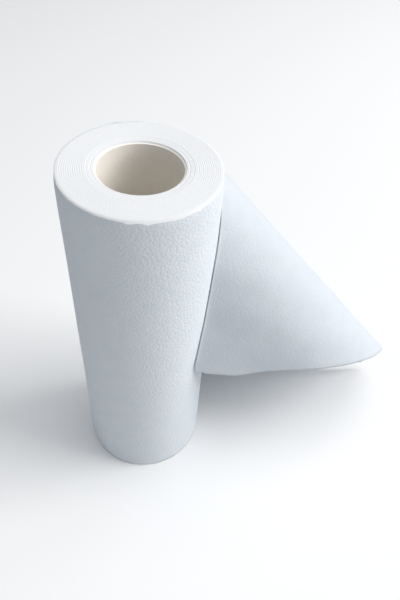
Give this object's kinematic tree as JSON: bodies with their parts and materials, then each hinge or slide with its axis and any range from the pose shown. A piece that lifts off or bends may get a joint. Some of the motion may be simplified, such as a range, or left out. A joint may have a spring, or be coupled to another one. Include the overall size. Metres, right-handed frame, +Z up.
{
  "type": "cleaning cloth roll",
  "caption": "Upright roll of white embossed nonwoven cleaning cloth on a paperboard core, with its tail drawn off the back and folded loosely forward along a diagonal.",
  "frame": {"origin": "on the core's axis, in the plane of the base", "axes": "+Z up along the core's axis, +X the way the tail runs, -Y the front"},
  "size_m": [0.2478, 0.0866, 0.2503],
  "materials": {
    "paperboard": "matt cream paperboard",
    "cloth": "matt white embossed nonwoven"
  },
  "bodies": {
    "root": {"core_tube": "paperboard", "cloth_roll": "cloth"}
  },
  "joints": []
}
